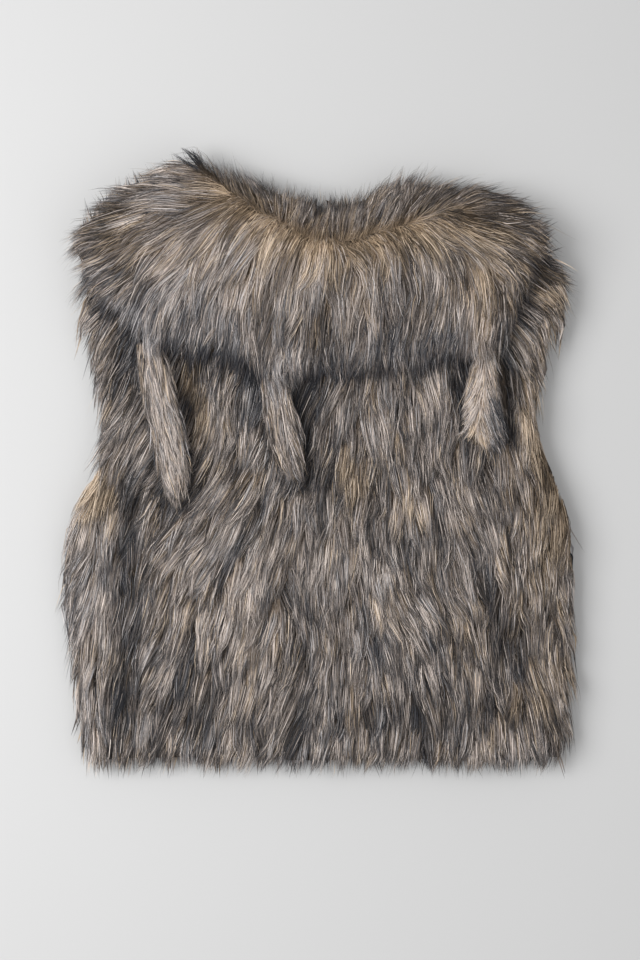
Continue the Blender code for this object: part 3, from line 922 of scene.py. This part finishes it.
def partCollar(piece):
    # Combs the hair up beyond the parting, and lets it lie over the neck. Below, it hangs over the tails.
    down = {key: piece[key].copy() for key in ("east", "north")}
    combField(piece, upGuides)
    x, y = np.meshgrid(gridX, gridY)
    upwards = combedUp(x, y + parting["ragged"] * softNoise(x, y, 7.0, np.random.default_rng(7)))
    for key in down:
        piece[key] = np.where(upwards, piece[key], down[key])
    edge = np.where(upwards, whole["reach"] + neckFade(x, y), piece["reach"])
    # It ends sooner on the left shoulder, and later at the tuft
    edge = edge - overhang["tuft"] * near(x, y, *tuftTip, overhang["tuftSize"])
    edge = edge + 4 * near(x, y, -190, 284, 24)
    for top in tailTops:
        edge = edge - overhang["tails"] * near(x, y, *top, overhang["tailsSize"])
        piece["drape"] = piece["drape"] + overhang["tailsLift"] * near(x, y, *top, overhang["tailsLiftSize"])
    piece["edge"] = edge


collarCrests = (
    # places that lie paler or darker: from x, y to x, y, how wide, how much paler
    (-150, 190, -105, 150, 26, 0.10), (-50, 212, 26, 208, 20, 0.16), (-48, 250, -34, 244, 9, 0.14),
    (-128, 216, -110, 202, 14, 0.20), (-60, 180, -44, 164, 14, -0.09), (62, 204, 94, 200, 14, -0.08),
    (92, 186, 92, 134, 17, -0.13), (158, 214, 168, 202, 10, 0.20), (164, 178, 200, 166, 12, -0.16),
    (-90, 142, -84, 128, 13, -0.09), (-120, 302, -142, 322, 9, -0.34), (156, 206, 166, 112, 11, 0.23),
    (110, 222, 150, 200, 16, -0.06), (160, 246, 212, 232, 20, -0.28), (200, 205, 188, 165, 14, -0.16),
    (-178, 140, -166, 104, 8, 0.26), (-48, 106, -42, 80, 9, 0.16), (-203, 250, -192, 202, 16, -0.34),
    (-234, 214, -205, 168, 12, 0.13), (0, 258, 30, 252, 12, -0.12), (180, 262, 150, 272, 9, -0.10),
    (-112, 296, -50, 268, 11, -0.16), (-236, 222, -150, 292, 7, -0.16), (-18, 152, -14, 118, 12, -0.10),
    # From (-146, 128) to (-62, 106): the collar's hair darker along its hem between the left and middle
    # tails, partly for its dark tips and partly as painted shadow
    (90, 140, 120, 120, 16, -0.05), (-146, 128, -62, 106, 9, -0.20), (222, 196, 188, 128, 8, -0.22),
    (-160, 252, -158, 236, 12, -0.15), (126, 246, 166, 240, 11, -0.17), (-160, 178, -160, 132, 12, 0.14),
    (-196, 244, -150, 186, 22, 0.05), (-92, 243, -56, 236, 9, 0.14),
)


def collarTint(x, y, rng):
    tint = 0.73 + 0.06 * softNoise(x, y, 55.0, rng) + 0.13 * softNoise(x, y, 15.0, rng, 2.6)
    return tint - 0.10 * smooth((belowParting(x, y) - 75) / 40) + alongLines(x, y, collarCrests)


def overTails(x, y):
    # 1 on the tops of the tails, where the collar's hair ends without dark tips
    ontoRightTail = 0.9 * nearLine(x, y, (156, 190, 166, 108), 10)
    return np.clip(sum(near(x, y, *top, overhang["tailsLiftSize"]) for top in tailTops) + ontoRightTail, 0, 1)


def collarDepth(x, y):
    # The pile is thin at the parting, and grows to its full depth away from it
    along = smooth((x - parting["from"]) / 24 + 0.5) * smooth((parting["to"] - x) / 24 + 0.5)
    return 1 - 0.75 * along * (1 - smooth((np.abs(belowParting(x, y)) - 2) / 26.0))


collarComb = {
    **backComb,
    "perSquareCm": 68,
    "widthAt": lambda x, y: np.where(combedUp(x, y), 0.6, 1.0),
    "length": (48, 62),
    "lengthAt": lambda x, y: np.where(combedUp(x, y), parting["length"], 1.0),
    "stops": (0.0, 0.24, 0.48, 0.74, 1.0),
    "depths": (9.0, 3.4, 1.0, 2.8),
    "rootBack": lambda x, y: 6.0 * np.exp(-(belowParting(x, y) / 7) ** 2),
    "paleTips": lambda x, y: (
        overTails(x, y) - 0.25 * combedUp(x, y) - 0.4 * near(x, y, *tuftTip, 20)
        # Darker tips along the hem between the left and middle tails: partly their own colour, partly painted
        # shadow
        - 0.5 * nearLine(x, y, (-144, 126, -64, 106), 11)
    ),
    "hemTip": 1.0,
    "wispTint": 0.25,
    "ownTint": 0.25,
    "lift": 2.0,
    "dome": 2.2,
    "heave": 1.2,
    "rootDepth": collarDepth,
    "lockSize": 12.0,
    "lockBend": 14.0,
    "ownTurn": 5.0,
    "rootInset": 2.0,
    "droop": 0.55,
    "tint": collarTint,
    "hue": lambda x, y, rng: (
        0.15 * softNoise(x, y, 45.0, rng) - 0.35 * smooth((belowParting(x, y) - 80) / 40)
        + smooth(1.4 - np.abs(belowParting(x, y) - 6) / parting["tan"]) * smooth((135 - np.abs(x)) / 30)
        + 0.3 * nearLine(x, y, (-215, 240, -150, 215), 16) + 0.4 * nearLine(x, y, (150, 232, 204, 200), 26)
        + 0.4 * nearLine(x, y, (152, 206, 166, 112), 10)
    ),
    "valley": never,
    "rootsWhere": everywhere,
}
collarPile = makePile("collarPile", "collar_back", collarComb, collarGuides, collarHair, 12,
                      partCollar)
# Finer hair stands close together beyond the parting
neckComb = {
    **collarComb,
    "perSquareCm": 90,
    "length": (32, 46),
    "lengthAt": evenly,
    "width": (0.22, 0.46),
    "widthAt": evenly,
    "stops": (0.0, 0.34, 0.70, 1.0),
    "ownTint": 0.20,
    "past": -4.0,
    "uneven": 5.0,
    "tint": lambda x, y, rng: collarTint(x, y, rng) - 0.03,
    "hue": lambda x, y, rng: 0.15 + 0.2 * softNoise(x, y, 30.0, rng),
    "rootsWhere": combedUp,
}
collarPile += makePile("neckPile", "collar_back", neckComb, collarGuides, collarHair, 13,
                       partCollar)
# Dark strands of the tuft where the parting meets the shoulder
tuftComb = {
    **neckComb,
    "perSquareCm": 85,
    "length": (30, 46),
    "width": (0.26, 0.54),
    "depths": (6.0, -2.0, -3.0, -2.0),
    "lockSize": 5.0,
    "lockTurn": 11.0,
    "strays": 0.0,
    "past": 18.0,
    "stub": 0.1,
    "paleTips": never,
    "tint": lambda x, y, rng: np.full(np.shape(x), 0.10),
    "hue": lambda x, y, rng: np.full(np.shape(x), -0.4),
    "rootsWhere": lambda x, y: near(x, y, *tuftRoot, 5) > 0.5,
}
collarPile += makePile("tuftPile", "collar_back", tuftComb, tuftGuides, collarHair, 14)
dress("collar_back", "collarBacking",
      collarUnderfur, overPile=lambda x, y: backing["underCollarPile"] * collarDepth(x, y))


# Tails

tailGuides = {
    "tail_left": ((-170, 125, 4), (-182, 60, 0), (-140, 60, 18), (-165, 0, 4), (-134, 0, 14), (-145, -40, 6)),
    "tail_middle": ((-47, 94, 8), (-58, 40, 2), (-22, 40, 24), (-40, -5, 10), (-14, -5, 24)),
    "tail_right": ((166, 122, 0),),
}
tailEnds = {"tail_left": (-143, -42), "tail_middle": (-17, -18), "tail_right": (150, 12)}


def combRightTail(piece):
    # Combed out from its middle line like a feather, and forked at its end
    x, y = np.meshgrid(gridX, gridY)
    middle = np.interp(y, (20, 60, 125), (152, 159, 166))
    lean = np.interp(y, (20, 50, 90, 125), (30, 27, 20, 8)) * np.clip((x - middle) / 5, -1, 0.8)
    piece["east"], piece["north"] = np.sin(np.radians(lean)), -np.cos(np.radians(lean))
    piece["edge"] = (piece["reach"] - 8 * near(x, y, 138, 25, 6) - 8 * near(x, y, 186, 17, 7)
                     + 20 * near(x, y, 151, 26, 6))


def rightTailShade(x, y):
    # Its right side turns slate towards the end
    return smooth((x - 163) / 10) * smooth((80 - y) / 26)


def tailComb(node, paleness, hue):
    # Paler in the middle of the tail than along its sides, where the darker hair is partly dark tips and
    # partly painted shade, and dark at its end
    piece, end = pieces[node], tailEnds[node]
    shade = rightTailShade if node == "tail_right" else never
    return {
        **backComb,
        "perSquareCm": 120,
        "length": (28, 42),
        "width": (0.32, 0.78),
        "depths": (5.0, 1.8, 0.6, 1.2),
        "lift": 0.8,
        "dome": 0.9,
        "heave": 0.6,
        "guardLift": 0.8,
        "lockSize": 7.0,
        "wispSize": 3.2,
        "lockTurn": 4.5,
        "lockBend": 9.0,
        "sway": 5.0,
        "rootInset": 2.0,
        "stub": 0.35,
        "past": -1.5,
        "uneven": 2.0,
        "strays": 0.02,
        "lockUneven": 0.8,
        "droop": 0.5,
        "lockTint": 0.08,
        "flankPaintedShade": 0.05,
        "wispTint": 0.17,
        "wispLift": 0.7,
        "tint": lambda x, y, rng: (
            paleness - 0.22 + 0.26 * smooth(-readAt(piece, "reach", x, y) / 9)
            + 0.08 * softNoise(x, y, 20.0, rng, 2.0) - 0.30 * near(x, y, *end, 11) - 0.46 * shade(x, y)
        ),
        "hue": lambda x, y, rng: hue + 0.1 * softNoise(x, y, 25.0, rng) - 0.7 * shade(x, y),
        "valley": never,
        "rootsWhere": everywhere,
    }


tails = (("tail_left", "tailLeft", 0.86, 0.0, None), ("tail_middle", "tailMiddle", 0.74, 0.0, None),
         ("tail_right", "tailRight", 0.99, 0.2, combRightTail))
for number, (node, label, paleness, hue, prepare) in enumerate(tails):
    comb = tailComb(node, paleness, hue)
    makePile(label + "Pile", node, comb, tailGuides[node], tailHair, 21 + number, prepare)
    dress(node, label + "Core", underfur,
          overPile=evenDepth(backing["underTailPile"]))


# Front panels, fur down

frontComb = {
    **backComb,
    "side": "under",
    "perSquareCm": 6.5,
    "length": (44, 58),
    "width": (1.6, 3.0),
    "stops": (0.0, 0.5, 1.0),
    "depths": (5.5, 2.0, 0.9, 1.2),
    "lift": 0.8,
    "dome": 0.6,
    "rootInset": 4.0,
    "roll": 14.0,
    "tint": lambda x, y, rng: 0.64 + 0.08 * softNoise(x, y, 55.0, rng),
    "hue": lambda x, y, rng: 0.1 * softNoise(x, y, 45.0, rng),
    "valley": never,
    "rootsWhere": everywhere,
}
downwards = ((0, 0, 0), (-250, 0, -8), (250, 0, 8))
frontPileDepth = evenDepth(backing["overFrontPile"])
for number, (node, label) in enumerate((("front_left", "frontLeft"), ("front_right", "frontRight"))):
    pile = makePile(label + "Pile", node, frontComb, downwards, bodyHair, 31 + number)
    dress(node, label + "Backing", underfur,
          underPile=frontPileDepth)

collarFrontComb = {**frontComb, "perSquareCm": 8, "depths": (5.0, 2.0, 0.9, 1.2)}


def inNeckBand(x, y):
    # 1 where the front collars show in the neck and carry hair on top, 0 where the back collar covers them
    uncovered = smooth((readAt(pieces["collar_back"], "reach", x, y) + 16) / 8)
    return uncovered * (belowParting(x, y) < 6) * (x > -138) * (x < 153)


neckBandComb = {
    **neckComb,
    "perSquareCm": 110,
    "length": (32, 48),
    "width": (0.20, 0.46),
    "ownTint": 0.26,
    "wispTint": 0.12,
    "depths": (5.5, 2.2, 1.0, 1.6),
    "lift": 1.2,
    "dome": 1.2,
    "rootDepth": evenly,
    "lockSize": 9.0,
    "stub": 0.3,
    "past": -5.0,
    "uneven": 5.5,
    "strays": 0.25,
    "tint": lambda x, y, rng: collarTint(x, y, rng) - 0.09,
    "hue": lambda x, y, rng: 0.12 + 0.2 * softNoise(x, y, 30.0, rng),
    "rootsWhere": lambda x, y: inNeckBand(x, y) > 0.5,
}


def reachAcross(piece):
    # The hair of the neck band may lie across the gap between the two front collars
    piece["edge"] = whole["reach"] + neckFade(*np.meshgrid(gridX, gridY))


def onShoulder(x, y):
    # 1 along the shoulders, where the edge of a front collar shows from the side, under the back collar
    return smooth((readAt(whole, "reach", x, y) + 28) / 10) * (inNeckBand(x, y) < 0.5)


shoulderComb = {
    **collarFrontComb,
    "side": "top",
    "perSquareCm": 30,
    "length": (22, 34),
    "width": (0.6, 1.3),
    "depths": (4.0, 1.4, 0.6, 1.4),
    "rootInset": 5.0,
    "past": 0.0,
    "tint": lambda x, y, rng: 0.62 + 0.08 * softNoise(x, y, 30.0, rng),
    "rootsWhere": lambda x, y: onShoulder(x, y) > 0.5,
}


def collarFrontDepth(x, y):
    # Hair grows on top of a front collar in the neck band and on the shoulders only
    return backing["bare"] + np.maximum(4.4 * inNeckBand(x, y), 3.4 * onShoulder(x, y))


collarFronts = (("collar_front_left", "collarFrontLeft"), ("collar_front_right", "collarFrontRight"))
for number, (node, label) in enumerate(collarFronts):
    pile = makePile(label + "Pile", node, collarFrontComb, downwards, collarHair, 41 + number)
    pile += makePile(label + "Band", node, neckBandComb, upGuides, collarHair, 43 + number,
                     reachAcross)
    pile += makePile(label + "Rim", node, shoulderComb, upGuides, collarHair, 45 + number)
    dress(node, label + "Backing",
          collarUnderfur, overPile=collarFrontDepth, underPile=frontPileDepth)
print("vest dressed")


# Floor, light and camera

floor = {"size": 6.0, "color": (0.60, 0.60, 0.60), "roughness": 0.8}


def makeFloor():
    bpy.ops.mesh.primitive_plane_add(size=floor["size"], location=(0, 0, 0))
    ground = bpy.context.object
    ground.name = "ground"
    material, _, shader = newMaterial("paleFloor")
    shader.inputs["Base Color"].default_value = (*floor["color"], 1)
    shader.inputs["Roughness"].default_value = floor["roughness"]
    ground.data.materials.append(material)


studio = {
    "sky": 0.54,
    "keyAt": (-1.35, 0.15, 1.55), "keyPower": 38.0, "keySize": 1.4,
    "fillAt": (1.6, -1.2, 2.2), "fillPower": 10.0, "fillSize": 2.2,
}


def makeLamp(name, place, power, size):
    lamp = bpy.data.lights.new(name, "AREA")
    lamp.energy = power
    lamp.size = size
    item = bpy.data.objects.new(name, lamp)
    bpy.context.scene.collection.objects.link(item)
    item.location = place
    item.rotation_mode = "QUATERNION"
    item.rotation_quaternion = (-Vector(place)).to_track_quat("-Z", "Y")


def makeStudio():
    world = bpy.data.worlds.new("studio")
    world.use_nodes = True
    world.node_tree.nodes["Background"].inputs["Color"].default_value = (1, 1, 1, 1)
    world.node_tree.nodes["Background"].inputs["Strength"].default_value = studio["sky"]
    bpy.context.scene.world = world
    makeLamp("key", studio["keyAt"], studio["keyPower"], studio["keySize"])
    makeLamp("fill", studio["fillAt"], studio["fillPower"], studio["fillSize"])
    bpy.context.scene.view_settings.view_transform = "Standard"


viewOf = {"longSide": 0.96, "height": 2.0, "plane": 0.020, "centreY": -0.013, "sensor": 36.0}


def makeCamera():
    camera = bpy.data.cameras.new("camera")
    camera.sensor_width = viewOf["sensor"]
    camera.lens = viewOf["sensor"] * viewOf["height"] / viewOf["longSide"]
    item = bpy.data.objects.new("camera", camera)
    bpy.context.scene.collection.objects.link(item)
    item.location = (0, viewOf["centreY"], viewOf["height"] + viewOf["plane"])
    bpy.context.scene.camera = item


makeFloor()
makeStudio()
makeCamera()
print("studio made")
